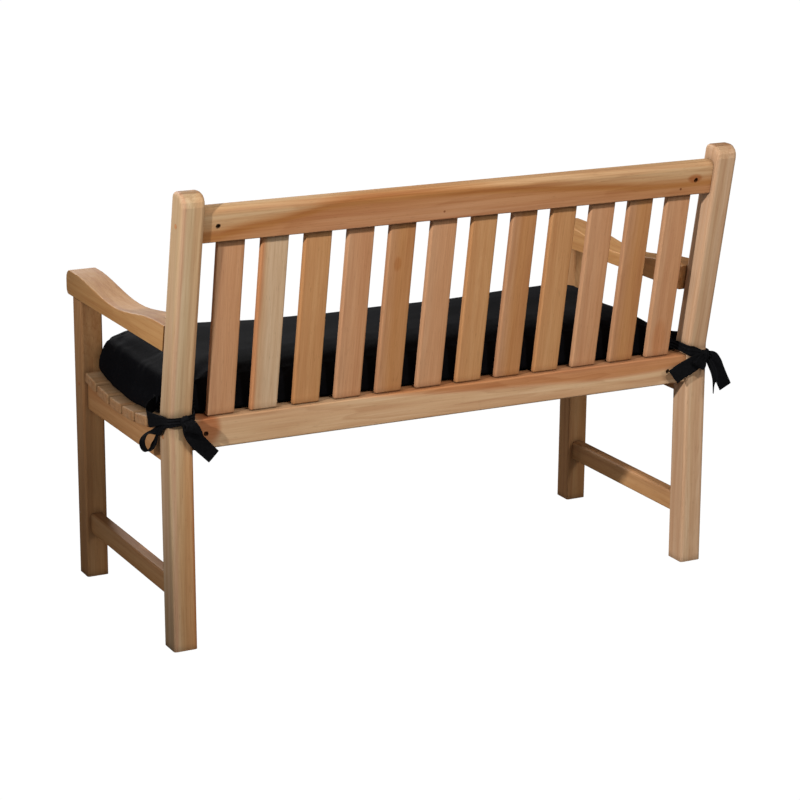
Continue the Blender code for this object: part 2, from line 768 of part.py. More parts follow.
def right_ties(finish):
    """The same two tapes on the right post, knotted near its outer edge with free ends."""
    inner = tape(
        "tie_right_inner",
        [
            row(-0.5300, 0.2044, 0.4780, 0.018),
            row(-0.5380, 0.2085, 0.4775, 0.018),
            row(-0.5450, 0.2180, 0.4750, 0.019),
            row(-0.5482, 0.2300, 0.4700, 0.020),
            row(-0.5486, 0.2425, 0.4670, 0.022),
            row(-0.5528, 0.2518, 0.4640, 0.024),
            row(-0.5650, 0.2526, 0.4590, 0.023),
            row(-0.5760, 0.2545, 0.4540, 0.021),
            row(-0.5850, 0.2570, 0.4500, 0.018),
        ],
        finish,
    )
    lower_left = (-0.62, 0.0, -0.78)
    tail = tape(
        "right_tail",
        [
            row(-0.5870, 0.2585, 0.4485, 0.014, (-0.45, 0.0, -0.9)),
            row(-0.5730, 0.2620, 0.4435, 0.028, (-0.5, 0.0, -0.86)),
            row(-0.5560, 0.2620, 0.4345, 0.036, lower_left),
            row(-0.5350, 0.2590, 0.4240, 0.037, lower_left),
            row(-0.5115, 0.2590, 0.4115, 0.037, lower_left),
        ],
        finish,
    )
    strand = tape(
        "right_strand",
        [
            row(-0.5895, 0.2595, 0.4410, 0.011, TURNED),
            row(-0.5975, 0.2645, 0.4320, 0.017, TURNED),
            row(-0.6040, 0.2680, 0.4190, 0.019, TURNED),
            row(-0.6075, 0.2690, 0.4040, 0.014, TURNED),
            row(-0.6070, 0.2680, 0.3890, 0.005, TURNED),
            row(-0.6065, 0.2675, 0.3680, 0.002, TURNED),
        ],
        finish,
    )
    loop = tape(
        "right_loop",
        [
            row(-0.5870, 0.2615, 0.4500, 0.013, (-0.45, 0.0, -0.9)),
            row(-0.5770, 0.2690, 0.4440, 0.026, (-0.60, 0.0, -0.80)),
            row(-0.5690, 0.2720, 0.4360, 0.030, (-0.80, 0.0, -0.60)),
            row(-0.5650, 0.2695, 0.4310, 0.030, (-0.80, 0.0, -0.60)),
            row(-0.5690, 0.2662, 0.4350, 0.030, (-0.80, 0.0, -0.60)),
            row(-0.5780, 0.2640, 0.4410, 0.022, (-0.60, 0.0, -0.80)),
            row(-0.5870, 0.2600, 0.4450, 0.012, (-0.45, 0.0, -0.9)),
        ],
        finish,
    )
    pinch = knot("right_knot", (-0.5865, 0.2590, 0.4480), (0.015, 0.0140, 0.025), finish)
    fuse(inner, [pinch, tail, loop, strand])

    tape(
        "tie_right_outer",
        [
            row(-0.5762, 0.1150, 0.4600, 0.028),
            row(-0.5784, 0.1280, 0.4600, 0.028),
            row(-0.5880, 0.1400, 0.4600, 0.028),
            row(-0.5990, 0.1490, 0.4590, 0.028),
            row(-0.6070, 0.1610, 0.4520, 0.029),
            row(-0.6090, 0.1750, 0.4480, 0.029),
            row(-0.6075, 0.1900, 0.4480, 0.027),
            row(-0.6055, 0.2050, 0.4490, 0.023),
            row(-0.6042, 0.2200, 0.4500, 0.019),
            row(-0.6036, 0.2330, 0.4500, GATHERED),
            row(-0.6034, 0.2420, 0.4500, GATHERED),
            row(-0.6015, 0.2485, 0.4500, GATHERED),
            row(-0.5985, 0.2525, 0.4500, GATHERED),
            row(-0.5970, 0.2565, 0.4503, GATHERED),
            row(-0.5985, 0.2608, 0.4505, GATHERED),
            row(-0.6030, 0.2630, 0.4485, 0.019, (-0.45, 0.0, 0.9)),
            row(-0.6085, 0.2620, 0.4420, 0.025, (-0.8, 0.0, 0.6)),
            row(-0.6150, 0.2600, 0.4310, 0.029, (-0.9, 0.0, 0.43)),
            row(-0.6240, 0.2580, 0.4130, TAPE, (-0.9, 0.0, 0.43)),
            row(-0.6330, 0.2590, 0.3945, TAPE, (-0.9, 0.0, 0.43)),
            row(-0.6420, 0.2600, 0.3760, TAPE, (-0.9, 0.0, 0.43)),
        ],
        finish,
    )


def stand_on_origin():
    """Hangs every object on one empty that puts the origin at the bottom middle of the box."""
    bpy.context.view_layer.update()
    graph = bpy.context.evaluated_depsgraph_get()
    low = Vector((math.inf,) * 3)
    high = Vector((-math.inf,) * 3)
    for thing in bpy.data.objects:
        if thing.type != "MESH" or thing.hide_render:
            continue
        evaluated = thing.evaluated_get(graph)
        mesh = evaluated.to_mesh()
        for vert in mesh.vertices:
            place = evaluated.matrix_world @ vert.co
            low = Vector(map(min, low, place))
            high = Vector(map(max, high, place))
        evaluated.to_mesh_clear()
    carrier = bpy.data.objects.new("bench_and_cushion", None)
    bpy.context.scene.collection.objects.link(carrier)
    carrier.location = (-(low.x + high.x) / 2, -(low.y + high.y) / 2, 0.0)
    for thing in bpy.data.objects:
        if thing is not carrier:
            thing.parent = carrier


def main():
    clear_scene()
    teak = material("oiled_teak", (0.44, 0.28, 0.17), 0.5)
    slat_teak = material("slat_teak", (0.47, 0.27, 0.17), 0.55)
    cloth = material("black_canvas", (0.008, 0.008, 0.009), 0.85)
    ribbon = material("black_tape", (0.010, 0.010, 0.011), 0.75)
    for side, word in ((1, "left"), (-1, "right")):
        rear_post("rear_post_" + word, side, teak)
        front_leg("front_leg_" + word, side, teak)
        arm("arm_" + word, side, teak)
    top_rail(teak)
    lower_back_rail(teak)
    back_slats(slat_teak)
    seat_frame(seat_slats(slat_teak), teak)
    cushion(cloth)
    left_ties(ribbon)
    right_ties(ribbon)
    stand_on_origin()


main()
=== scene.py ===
import math

import bmesh
import bpy
import numpy as np
from mathutils import Matrix, Vector, kdtree, noise


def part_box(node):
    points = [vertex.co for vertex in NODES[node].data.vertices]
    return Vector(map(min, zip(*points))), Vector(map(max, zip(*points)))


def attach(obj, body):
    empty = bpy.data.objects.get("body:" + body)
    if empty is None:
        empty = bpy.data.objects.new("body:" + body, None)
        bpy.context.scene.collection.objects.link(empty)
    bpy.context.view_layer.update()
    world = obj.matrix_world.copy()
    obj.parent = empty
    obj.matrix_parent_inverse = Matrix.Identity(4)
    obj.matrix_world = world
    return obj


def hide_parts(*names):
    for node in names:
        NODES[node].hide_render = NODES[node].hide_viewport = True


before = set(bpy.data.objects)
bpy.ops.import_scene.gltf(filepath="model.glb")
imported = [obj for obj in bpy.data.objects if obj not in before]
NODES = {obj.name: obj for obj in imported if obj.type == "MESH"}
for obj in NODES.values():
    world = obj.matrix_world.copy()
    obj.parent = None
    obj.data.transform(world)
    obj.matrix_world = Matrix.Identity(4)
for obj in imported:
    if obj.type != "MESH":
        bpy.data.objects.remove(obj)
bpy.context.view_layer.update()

# The middle of the bench in the frame, from its posts and legs; everything below is measured
# from it: X along the bench, Y towards its back, Z up.
LEFT_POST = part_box("rear_post_left")
RIGHT_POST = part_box("rear_post_right")
FRONT_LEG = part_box("front_leg_left")
LEG_FRONT = -0.2555  # front faces of the front legs
MIDDLE = Vector(((LEFT_POST[1].x + RIGHT_POST[0].x) / 2, FRONT_LEG[0].y - LEG_FRONT, 0.0))
HALF_WIDTH = (LEFT_POST[1].x - RIGHT_POST[0].x) / 2

BEND = 0.462  # height where the rear posts bend back
RAKE = 0.1875  # how far the back leans for each metre up

# ------------------------------------------------------------------ materials


def linear(colour):
    """A linear RGBA from an sRGB hex value."""
    parts = [int(colour[i : i + 2], 16) / 255 for i in (1, 3, 5)]
    return (*[c / 12.92 if c <= 0.04045 else ((c + 0.055) / 1.055) ** 2.4 for c in parts], 1.0)


def add(tree, kind, inputs=None, **settings):
    """Adds a node with its settings. An input is a value, a socket, or a node whose first
    output feeds it.
    """
    made = tree.nodes.new(kind)
    for name, value in settings.items():
        setattr(made, name, value)
    for name, value in (inputs or {}).items():
        if isinstance(value, bpy.types.Node):
            value = value.outputs[0]
        if isinstance(value, bpy.types.NodeSocket):
            tree.links.new(value, made.inputs[name])
        else:
            made.inputs[name].default_value = value
    return made


def fill_ramp(ramp, stops):
    """Sets a colour ramp to (position, hex colour) stops."""
    elements = ramp.color_ramp.elements
    while len(elements) > 1:
        elements.remove(elements[-1])
    elements[0].position = stops[0][0]
    elements[0].color = linear(stops[0][1])
    for position, colour in stops[1:]:
        elements.new(position).color = linear(colour)


def fill_curve(node, points):
    """Sets a float curve to smooth steps through (from, to) points between 0 and 1."""
    curve = node.mapping.curves[0]
    curve.points[0].location, curve.points[-1].location = points[0], points[-1]
    for point in points[1:-1]:
        curve.points.new(*point)
    node.mapping.update()


def empty_material(name):
    """A material whose nodes are still to be added, and its tree."""
    made = bpy.data.materials.new(name)
    made.use_nodes = True
    made.node_tree.nodes.clear()
    return made, made.node_tree


# Across, through and along a board, for each way that its grain runs; "flat" is a board that
# lies, with its grain along X
AXES = {"x": "ZYX", "y": "ZXY", "z": "XYZ", "flat": "YZX"}

# The noise in teak: how many spots to the metre over the board and along it, and the detail
WOOD_NOISE = {
    "cloud": (20.0, 1.9, 3.0),  # the wavering of the bands, 50 mm wide and 500 mm long
    "streak": (95.0, 2.6, 3.0),  # streaks of darker wood, 10 mm wide and 380 mm long
    "fibre": (620.0, 9.0, 3.0),  # fibres 1.6 mm wide, coarser than real ones, to show
    "pore": (900.0, 55.0, 1.0),  # pores 1.1 mm wide and 18 mm long, coarser for the same reason
    "blotch": (160.0, 160.0, 3.0),  # blotches of 6 mm on the end grain
}
RING_BEND = 0.03  # how far the rings stray, in metres
PAINTED_SHADE_REACH = 0.016  # how far from its neighbour a board is darkened by painted shade


def board_directions(tree, grain, centre):
    """How far a point lies over, through and along the board from the board's middle."""
    place = add(tree, "ShaderNodeTexCoord").outputs["Object"]
    parts = add(tree, "ShaderNodeSeparateXYZ", {0: place}).outputs
    sockets = {axis: parts[axis] for axis in "XYZ"}
    if grain == "z":
        above = add(tree, "ShaderNodeMath", {0: parts["Z"], 1: BEND}, operation="SUBTRACT")
        above = add(tree, "ShaderNodeMath", {0: above, 1: 0.0}, operation="MAXIMUM")
        leaning = add(tree, "ShaderNodeMath", {0: above, 1: RAKE}, operation="MULTIPLY")
        sockets["Y"] = add(tree, "ShaderNodeMath", {0: parts["Y"], 1: leaning}, operation="SUBTRACT")
    return [
        add(tree, "ShaderNodeMath", {0: sockets[axis], 1: centre["XYZ".index(axis)]}, operation="SUBTRACT")
        for axis in AXES[grain]
    ]


def tone_bands(tree, wide, along, cloud, across, tones, waver, sweep):
    """Heartwood and paler sapwood, in bands over the width with slowly wavering edges."""
    share = add(tree, "ShaderNodeMath", {0: wide, 1: 1 / across, 2: 0.5}, operation="MULTIPLY_ADD")
    off = add(tree, "ShaderNodeMapRange", {0: cloud, 1: 0.25, 2: 0.75, 3: -waver, 4: waver})
    share = add(tree, "ShaderNodeMath", {0: share, 1: off}, operation="ADD")
    if sweep:
        start, end = sweep[0][0], sweep[-1][0]
        run = add(tree, "ShaderNodeMapRange", {0: along, 1: start, 2: end})
        drift = add(tree, "ShaderNodeFloatCurve", {"Value": run})
        fill_curve(drift, [((at - start) / (end - start), down) for at, down in sweep])
        share = add(tree, "ShaderNodeMath", {0: share, 1: drift}, operation="ADD")
    half = add(tree, "ShaderNodeMath", {0: share, 1: 0.5}, operation="MULTIPLY")
    bands = add(tree, "ShaderNodeValToRGB", {"Fac": half})
    fill_ramp(bands, [(at / 2, tone) for at, tone in tones])
    return bands.outputs[0]


def growth_rings(tree, wide, deep, far, cloud, pith, tilt, ring):
    """Rings round a pith outside the board, cut into long lines by the tilt: each year, 0 to 1."""
    bent = add(tree, "ShaderNodeMath", {0: cloud, 1: RING_BEND, 2: -RING_BEND / 2}, operation="MULTIPLY_ADD")
    side = add(tree, "ShaderNodeMath", {0: wide, 1: bent}, operation="ADD")
    depth = add(tree, "ShaderNodeMath", {0: far, 1: tilt, 2: deep}, operation="MULTIPLY_ADD")
    spread = add(tree, "ShaderNodeCombineXYZ", {"X": side, "Y": depth})
    radius = add(tree, "ShaderNodeVectorMath", {0: spread, 1: (*pith, 0.0)}, operation="DISTANCE")
    grown = add(tree, "ShaderNodeMath", {0: radius.outputs["Value"], 1: bent}, operation="ADD")
    years = add(tree, "ShaderNodeMath", {0: grown, 1: ring}, operation="DIVIDE")
    return add(tree, "ShaderNodeMath", {0: years}, operation="FRACT")


def marks_on_wood(tree, wide, along, marks):
    """A layer for each knot, nail or stain: how much it shows, its colour and its blend."""
    spot = add(tree, "ShaderNodeCombineXYZ", {"X": along, "Y": wide})
    layers = []
    for at, over, half_long, half_wide, tint, strength in marks:
        off = add(tree, "ShaderNodeVectorMath", {0: spot, 1: (at, over, 0.0)}, operation="SUBTRACT")
        sized = (half_long, half_wide, 1.0)
        off = add(tree, "ShaderNodeVectorMath", {0: off, 1: sized}, operation="DIVIDE")
        away = add(tree, "ShaderNodeVectorMath", {0: off, 1: off}, operation="DOT_PRODUCT").outputs["Value"]
        shown = add(tree, "ShaderNodeMapRange", {0: away, 1: 1.0, 2: 0.2, 4: strength},
                    interpolation_type="SMOOTHSTEP")
        layers.append((shown, linear(tint), "MULTIPLY"))
    return layers


def teak(name, grain, centre, across, tones, seed, pith=(0.03, -0.09), tilt=0.01, ring=0.0042,
         rings=0.14, streaks=0.36, waver=0.13, sweep=(), marks=()):
    """Teak, planed, sanded and lightly oiled: a soft sheen over straight brown grain lines.

    centre is the board's middle and across its width over the grain, in metres. tones are
    (share of the width, hex colour) stops, from low to high and up to 2. pith is where the
    middle of the tree lay from the board's middle, tilt its slope along the board and ring
    the growth ring. rings and streaks are how much each shows, and waver how far the bands
    stray. sweep is how far the tones drift down over the width at places along the board:
    (along, share of the width). marks are knots, nails and stains: (along, across, half
    length, half width, hex colour, strength).
    """
    made, tree = empty_material(name)
    wide, deep, along = board_directions(tree, grain, centre)
    far = add(tree, "ShaderNodeMath", {0: along, 1: seed * 1.37}, operation="ADD")
    board = add(tree, "ShaderNodeCombineXYZ", {"X": wide, "Y": deep, "Z": far})
    wood = {}
    for part, (over, lengthways, detail) in WOOD_NOISE.items():
        stretched = add(tree, "ShaderNodeVectorMath", {0: board, 1: (over, over, lengthways)},
                        operation="MULTIPLY")
        wood[part] = add(tree, "ShaderNodeTexNoise", {"Vector": stretched, "Scale": 1.0, "Detail": detail})

    streak = add(tree, "ShaderNodeValToRGB", {"Fac": wood["streak"]})
    fill_ramp(streak, [(0.34, "#cfa27a"), (0.50, "#eedfcd"), (0.66, "#ffffff")])
    year = growth_rings(tree, wide, deep, far, wood["cloud"], pith, tilt, ring)
    late = add(tree, "ShaderNodeValToRGB", {"Fac": year})
    fill_ramp(late, [(0.0, "#ffffff"), (0.40, "#f8f2ea"), (0.82, "#cda783"), (0.92, "#c39a74"),
                     (1.0, "#ffffff")])
    hairs = add(tree, "ShaderNodeValToRGB", {"Fac": wood["fibre"]})
    fill_ramp(hairs, [(0.30, "#cfae8c"), (0.52, "#f3e9dd"), (0.72, "#ffffff")])
    pores = add(tree, "ShaderNodeMapRange", {0: wood["pore"], 1: 0.66, 2: 0.76, 4: 0.30})
    # Painted shade: ambient occlusion darkens the colour in gaps, joints and under overhangs, near other
    # boards.
    painted_joint_shade = add(tree, "ShaderNodeAmbientOcclusion", {"Distance": PAINTED_SHADE_REACH}, samples=4)

    # End grain drinks more oil: darker, where the surface faces along the grain.
    normal = add(tree, "ShaderNodeNewGeometry").outputs["Normal"]
    facing = add(tree, "ShaderNodeSeparateXYZ", {0: normal}).outputs[AXES[grain][2]]
    facing = add(tree, "ShaderNodeMath", {0: facing}, operation="ABSOLUTE")
    ends = add(tree, "ShaderNodeMapRange", {0: facing, 1: 0.72, 2: 0.95, 4: 0.50})
    blotch = add(tree, "ShaderNodeValToRGB", {"Fac": wood["blotch"]})
    fill_ramp(blotch, [(0.35, "#8a6444"), (0.60, "#c9a27c")])

    colour = tone_bands(tree, wide, along, wood["cloud"], across, tones, waver, sweep)
    layers = [
        (streaks, streak, "MULTIPLY"),
        (rings, late, "MULTIPLY"),
        (0.30, hairs, "MULTIPLY"),
        (0.75, painted_joint_shade, "MULTIPLY"),
        (pores, linear("#6d4526"), "MIX"),
        *marks_on_wood(tree, wide, along, marks),
        (ends, blotch, "MULTIPLY"),
    ]
    for share, over, mode in layers:
        colour = add(tree, "ShaderNodeMix", {0: share, 6: colour, 7: over},
                     data_type="RGBA", blend_type=mode).outputs[2]

    relief = add(tree, "ShaderNodeMath", {0: wood["fibre"], 1: year}, operation="ADD")
    bump = add(tree, "ShaderNodeBump", {"Height": relief, "Strength": 0.18, "Distance": 0.0003})
    rough = add(tree, "ShaderNodeMapRange", {0: wood["fibre"], 3: 0.66, 4: 0.50})
    shader = add(tree, "ShaderNodeBsdfPrincipled", {
        "Base Color": colour,
        "Roughness": rough,
        "IOR": 1.5,
        "Specular IOR Level": 0.10,
        "Normal": bump,
    })
    add(tree, "ShaderNodeOutputMaterial", {"Surface": shader})
    return made


def woven(name, dark, light, thread, sheen, roughness):
    """Dyed spun yarn in a plain weave: matt and nearly black, with a faint grey bloom.

    thread is the spacing of the yarns in metres, coarser than the real 0.5 mm where that
    would be too fine to show.
    """
    made, tree = empty_material(name)
    place = add(tree, "ShaderNodeTexCoord").outputs["Object"]
    turns = (math.pi / thread,) * 3
    over = add(tree, "ShaderNodeVectorMath", {0: place, 1: turns}, operation="MULTIPLY")
    parts = add(tree, "ShaderNodeSeparateXYZ", {0: over}).outputs
    wave = {axis: add(tree, "ShaderNodeMath", {0: parts[axis]}, operation="SINE") for axis in "XYZ"}
    normal = add(tree, "ShaderNodeNewGeometry").outputs["Normal"]
    faces = add(tree, "ShaderNodeSeparateXYZ", {0: normal}).outputs
    height = 0.0
    for facing, first, second in ("ZXY", "YXZ", "XYZ"):
        crossed = add(tree, "ShaderNodeMath", {0: wave[first], 1: wave[second]}, operation="MULTIPLY")
        faced = add(tree, "ShaderNodeMath", {0: faces[facing]}, operation="ABSOLUTE")
        height = add(tree, "ShaderNodeMath", {0: crossed, 1: faced, 2: height}, operation="MULTIPLY_ADD")
    lint = add(tree, "ShaderNodeTexNoise", {"Vector": place, "Scale": 260.0, "Detail": 3.0})
    fade = add(tree, "ShaderNodeTexNoise", {"Vector": place, "Scale": 9.0, "Detail": 3.0})
    worn = add(tree, "ShaderNodeMath", {0: lint, 1: fade}, operation="MULTIPLY")
    shade = add(tree, "ShaderNodeMapRange", {0: worn, 1: 0.12, 2: 0.42})
    colour = add(tree, "ShaderNodeMix", {0: shade, 6: linear(dark), 7: linear(light)}, data_type="RGBA")
    bump = add(tree, "ShaderNodeBump", {"Height": height, "Strength": 0.3, "Distance": 0.0002})
    shader = add(tree, "ShaderNodeBsdfPrincipled", {
        "Base Color": colour.outputs[2],
        "Roughness": roughness,
        "IOR": 1.5,
        "Specular IOR Level": 0.03,
        "Sheen Weight": sheen,
        "Sheen Roughness": 0.5,
        "Sheen Tint": linear("#9fa4ad"),
        "Normal": bump,
    })
    add(tree, "ShaderNodeOutputMaterial", {"Surface": shader})
    return made


# ------------------------------------------------------------------ the bench's wood

# Tones of the boards over their width, from low to high: share of the width and colour. The two
# rails' tones go past 1, because the sweeps below move them down over the rail.
PINK = [(0.05, "#cf9a70"), (0.5, "#d4a077"), (0.95, "#d2a27c")]
TAN = [(0.05, "#cc9866"), (0.5, "#d29f6e"), (0.95, "#cb9565")]
BROWN = [(0.05, "#c48d5d"), (0.5, "#c8915f"), (0.95, "#c99872")]
PALE = [(0.1, "#d8b996"), (0.6, "#dcbf9e"), (0.80, "#d8b48e"), (0.92, "#cf9468")]
SLAT_TONES = (PINK, PALE, TAN, PINK, BROWN, PINK, TAN, BROWN, TAN, PINK, BROWN, PINK)
POST_LEFT = [(0.02, "#d3aa80"), (0.30, "#dcbc94"), (0.52, "#d4b994"), (0.74, "#dcc19c"),
             (0.84, "#dab494"), (0.93, "#d5b494"), (1.0, "#ccb08c")]
POST_RIGHT = [(0.05, "#d6b290"), (0.4, "#d3b08e"), (0.7, "#d9b996"), (0.95, "#d7b392")]
RAIL = [(0.02, "#cb9670"), (0.45, "#cf9a70"), (0.70, "#c99264"), (0.80, "#be854f"), (0.88, "#bb814e"),
        (0.98, "#cf9f70"), (1.08, "#d8b186"), (1.40, "#dab78e"), (1.70, "#d4ab7c")]
LOW_RAIL = [(0.3, "#dab892"), (1.0, "#d6b08a"), (1.36, "#dcba94"), (1.44, "#d3a47c"), (1.52, "#c88f62"),
            (1.75, "#c99064"), (1.95, "#cc9870")]
LEG = [(0.05, "#cb9a68"), (0.5, "#d2a474"), (0.95, "#c4966a")]
ARM = [(0.05, "#c99863"), (0.5, "#cf9f6a"), (0.95, "#c99a68")]
SEAT_BOARD = [(0.05, "#dcb48a"), (0.5, "#e0bc94"), (0.95, "#dab084")]

# How far down the tones lie at places along the back's two rails
RAIL_SWEEP = ((-0.53, 0.49), (-0.43, 0.49), (-0.34, 0.40), (-0.25, 0.28), (-0.07, 0.13), (0.02, 0.06),
              (0.20, 0.06), (0.27, 0.09), (0.35, 0.28), (0.41, 0.43), (0.45, 0.49), (0.52, 0.66))
LOW_RAIL_SWEEP = ((-0.53, 0.80), (-0.40, 0.90), (-0.30, 0.90), (-0.20, 0.82), (-0.02, 0.70), (0.05, 0.62),
                  (0.18, 0.45), (0.30, 0.25), (0.53, 0.02))


def finish_wood(name, grain, tones, seed, **more):
    """Gives one board of the bench its own cut of teak."""
    low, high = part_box(name)
    centre, size = (low + high) / 2, high - low
    across = {"x": size.z, "y": size.z, "z": size.x, "flat": size.y}[grain]
    if grain == "z":
        centre.y = low.y + 0.02  # near the foot's middle: the box also holds the leaning head
    node = NODES[name]
    node.data.materials.clear()
    node.data.materials.append(teak("teak_" + name, grain, tuple(centre), across, tones, seed, **more))


def dress_slats():
    """Each slat of the back and of the seat is another board; two show a browner flame."""
    marks = {
        5: [(0.09, 0.006, 0.018, 0.010, "#e9c9a4", 0.5)],
        12: [(-0.135, 0.003, 0.050, 0.020, "#f0cfae", 0.45)],
    }
    for i, tones in enumerate(SLAT_TONES, 1):
        pith = (0.05 * (-1) ** i, -0.06 - 0.02 * (i % 4))
        finish_wood(f"back_slat_{i:02d}", "z", tones, i, pith=pith, tilt=0.006 * (i % 3 - 1),
                    rings=0.07, streaks=0.26, waver=0.10, marks=marks.get(i, ()))
    for i in range(1, 7):
        finish_wood(f"seat_slat_{i}", "flat", SEAT_BOARD, 20 + i)
    finish_wood("front_slat", "flat", SEAT_BOARD, 27)


def dress_posts_and_legs():
    """The left post is browner below the tie, and its rear corner most of all."""
    browner = [
        (-0.34, -0.012, 0.42, 0.030, "#f2cda4", 0.6),
        (-0.28, -0.026, 0.36, 0.010, "#dca878", 0.5),
    ]
    finish_wood("rear_post_left", "z", POST_LEFT, 30, pith=(0.09, -0.16), tilt=0.004, waver=0.07,
                marks=browner)
    finish_wood("rear_post_right", "z", POST_RIGHT, 31, pith=(-0.08, -0.12), tilt=0.006, waver=0.09)
    for i, side in enumerate(("left", "right")):
        finish_wood("front_leg_" + side, "z", LEG, 33 + i, pith=(-0.07, -0.12), tilt=0.006)
        finish_wood("arm_" + side, "y", ARM, 36 + i, pith=(-0.06, -0.08), tilt=0.02)


def dress_rails():
    """One brown streak arcs over the top rail, which has a stain round its right screw hole and
    two nail heads; the low rail is pale with a brown upper edge.
    """
    brown_nail = "#8a5a38"
    finish_wood("top_rail", "x", RAIL, 45, pith=(0.02, -0.10), tilt=0.012, ring=0.0060, rings=0.20,
                streaks=0.45, waver=0.07, sweep=RAIL_SWEEP, marks=[
                    (-0.5110, 0.0, 0.020, 0.011, "#d39c70", 0.7),
                    (-0.480, -0.020, 0.0032, 0.0032, brown_nail, 0.8),
                    (0.055, -0.018, 0.0028, 0.0028, brown_nail, 0.7),
                ])
    finish_wood("lower_back_rail", "x", LOW_RAIL, 46, pith=(0.02, -0.10), tilt=0.006, rings=0.24,
                streaks=0.36, waver=0.05, sweep=LOW_RAIL_SWEEP, marks=[
                    (0.520, 0.010, 0.032, 0.040, "#d59c78", 0.8),
                ])
    for i, side in enumerate(("left", "right")):
        finish_wood("side_seat_rail_" + side, "y", TAN, 39 + i)
        finish_wood("side_stretcher_" + side, "y", LEG, 42 + i)
    finish_wood("front_apron", "x", TAN, 48)
    finish_wood("seat_middle_bearer", "y", TAN, 49)


# ------------------------------------------------------------------ mesh helpers


def new_piece(name, mesh, finish):
    """An object of one mesh and finish that rides on the bench."""
    made = bpy.data.objects.new(name, mesh)
    bpy.context.scene.collection.objects.link(made)
    mesh.materials.clear()
    mesh.materials.append(finish)
    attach(made, "root")
    return made


def mesh_of(name, shape):
    """A smooth mesh from a bmesh, which is freed."""
    bmesh.ops.recalc_face_normals(shape, faces=shape.faces)
    mesh = bpy.data.meshes.new(name)
    shape.to_mesh(mesh)
    shape.free()
    mesh.shade_smooth()
    return mesh


def applied(piece):
    """Bakes the piece's modifiers into its mesh."""
    bpy.context.view_layer.update()
    graph = bpy.context.evaluated_depsgraph_get()
    mesh = bpy.data.meshes.new_from_object(piece.evaluated_get(graph))
    piece.modifiers.clear()
    piece.data = mesh


def vectors_of(items, name):
    """One row of x, y and z for each item."""
    flat = np.zeros(len(items) * 3)
    items.foreach_get(name, flat)
    return flat.reshape(-1, 3)


def set_points(mesh, points):
    """Moves a mesh's points to rows of x, y and z."""
    mesh.vertices.foreach_set("co", points.astype(np.float32).ravel())
    mesh.update()


def smooth_step(values, low, high):
    """Rises softly from 0 at low to 1 at high."""
    t = np.clip((values - low) / (high - low), 0, 1)
    return t * t * (3 - 2 * t)


# ------------------------------------------------------------------ the cushion

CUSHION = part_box("cushion")
VOXEL = 0.005
SIM_FRAMES = 20
PRESSURE = 4.0
MOST_MOVED = 0.006  # how far the pressure may move the cover
HELD_BELOW = 0.030  # the cover is held up to this height over the seat
SEAM_ANGLE = math.radians(35)  # where two panels of the cover meet at more than this, they are sewn
SEAM_STEP = 0.002
SEAM_GROOVE = 0.0012  # how deep the stitches draw the seam in
SEAM_HALF = 0.0030
SEAM_SWELL = 0.0008  # how far the filling stands out beside a seam
SWELL_AWAY = 0.010
PUCKER = 0.0004
HOLLOW = 0.0020  # how uneven the filling lies
FLAT_BELOW, FULL_ABOVE = 0.012, 0.035  # heights over the seat where the cover's relief starts

# Creases of the cover: from, to, how deep and how wide, in metres from the bench's middle
CREASES = (
    ((0.575, -0.125, 0.498), (0.577, -0.015, 0.470), 0.0030, 0.010),
    ((0.575, 0.020, 0.465), (0.574, 0.120, 0.470), 0.0016, 0.012),
    ((0.560, -0.205, 0.520), (0.480, -0.170, 0.535), 0.0022, 0.014),
    ((-0.560, 0.185, 0.500), (-0.470, 0.110, 0.535), 0.0024, 0.014),
    ((0.545, 0.195, 0.515), (0.455, 0.130, 0.540), 0.0020, 0.014),
    ((0.115, -0.235, 0.490), (0.100, -0.170, 0.520), 0.0026, 0.016),
    ((0.040, -0.235, 0.490), (0.030, -0.185, 0.515), 0.0018, 0.012),
)


def seam_points(mesh):
    """Points along the sewn edges, where the panels of the plain solid meet at an angle."""
    shape = bmesh.new()
    shape.from_mesh(mesh)
    bmesh.ops.remove_doubles(shape, verts=shape.verts, dist=1e-6)
    found = []
    for edge in shape.edges:
        if len(edge.link_faces) != 2 or edge.calc_face_angle(0.0) < SEAM_ANGLE:
            continue
        start, end = (vert.co for vert in edge.verts)
        steps = max(1, round(edge.calc_length() / SEAM_STEP))
        found += [start.lerp(end, k / steps) for k in range(steps)]
    shape.free()
    return found


def puff(piece):
    """Blows the cushion's cover out against its seams, only as far as it may move."""
    before = vectors_of(piece.data.vertices, "co")
    held = piece.vertex_groups.new(name="held")
    low = before[:, 2] < CUSHION[0].z + HELD_BELOW
    held.add(np.flatnonzero(low).tolist(), 1.0, "REPLACE")
    cloth = piece.modifiers.new("cover", "CLOTH")
    cloth.settings.vertex_group_mass = "held"
    cloth.settings.use_pressure = True
    cloth.settings.uniform_pressure_force = PRESSURE
    cloth.settings.quality = 5
    cloth.settings.effector_weights.gravity = 0.0
    scene = bpy.context.scene
    for number in range(1, SIM_FRAMES + 1):
        scene.frame_set(number)
    applied(piece)
    scene.frame_set(1)
    moved = vectors_of(piece.data.vertices, "co") - before
    length = np.linalg.norm(moved, axis=1)
    share = np.minimum(1.0, MOST_MOVED / np.maximum(length, 1e-9))
    set_points(piece.data, before + moved * share[:, None])


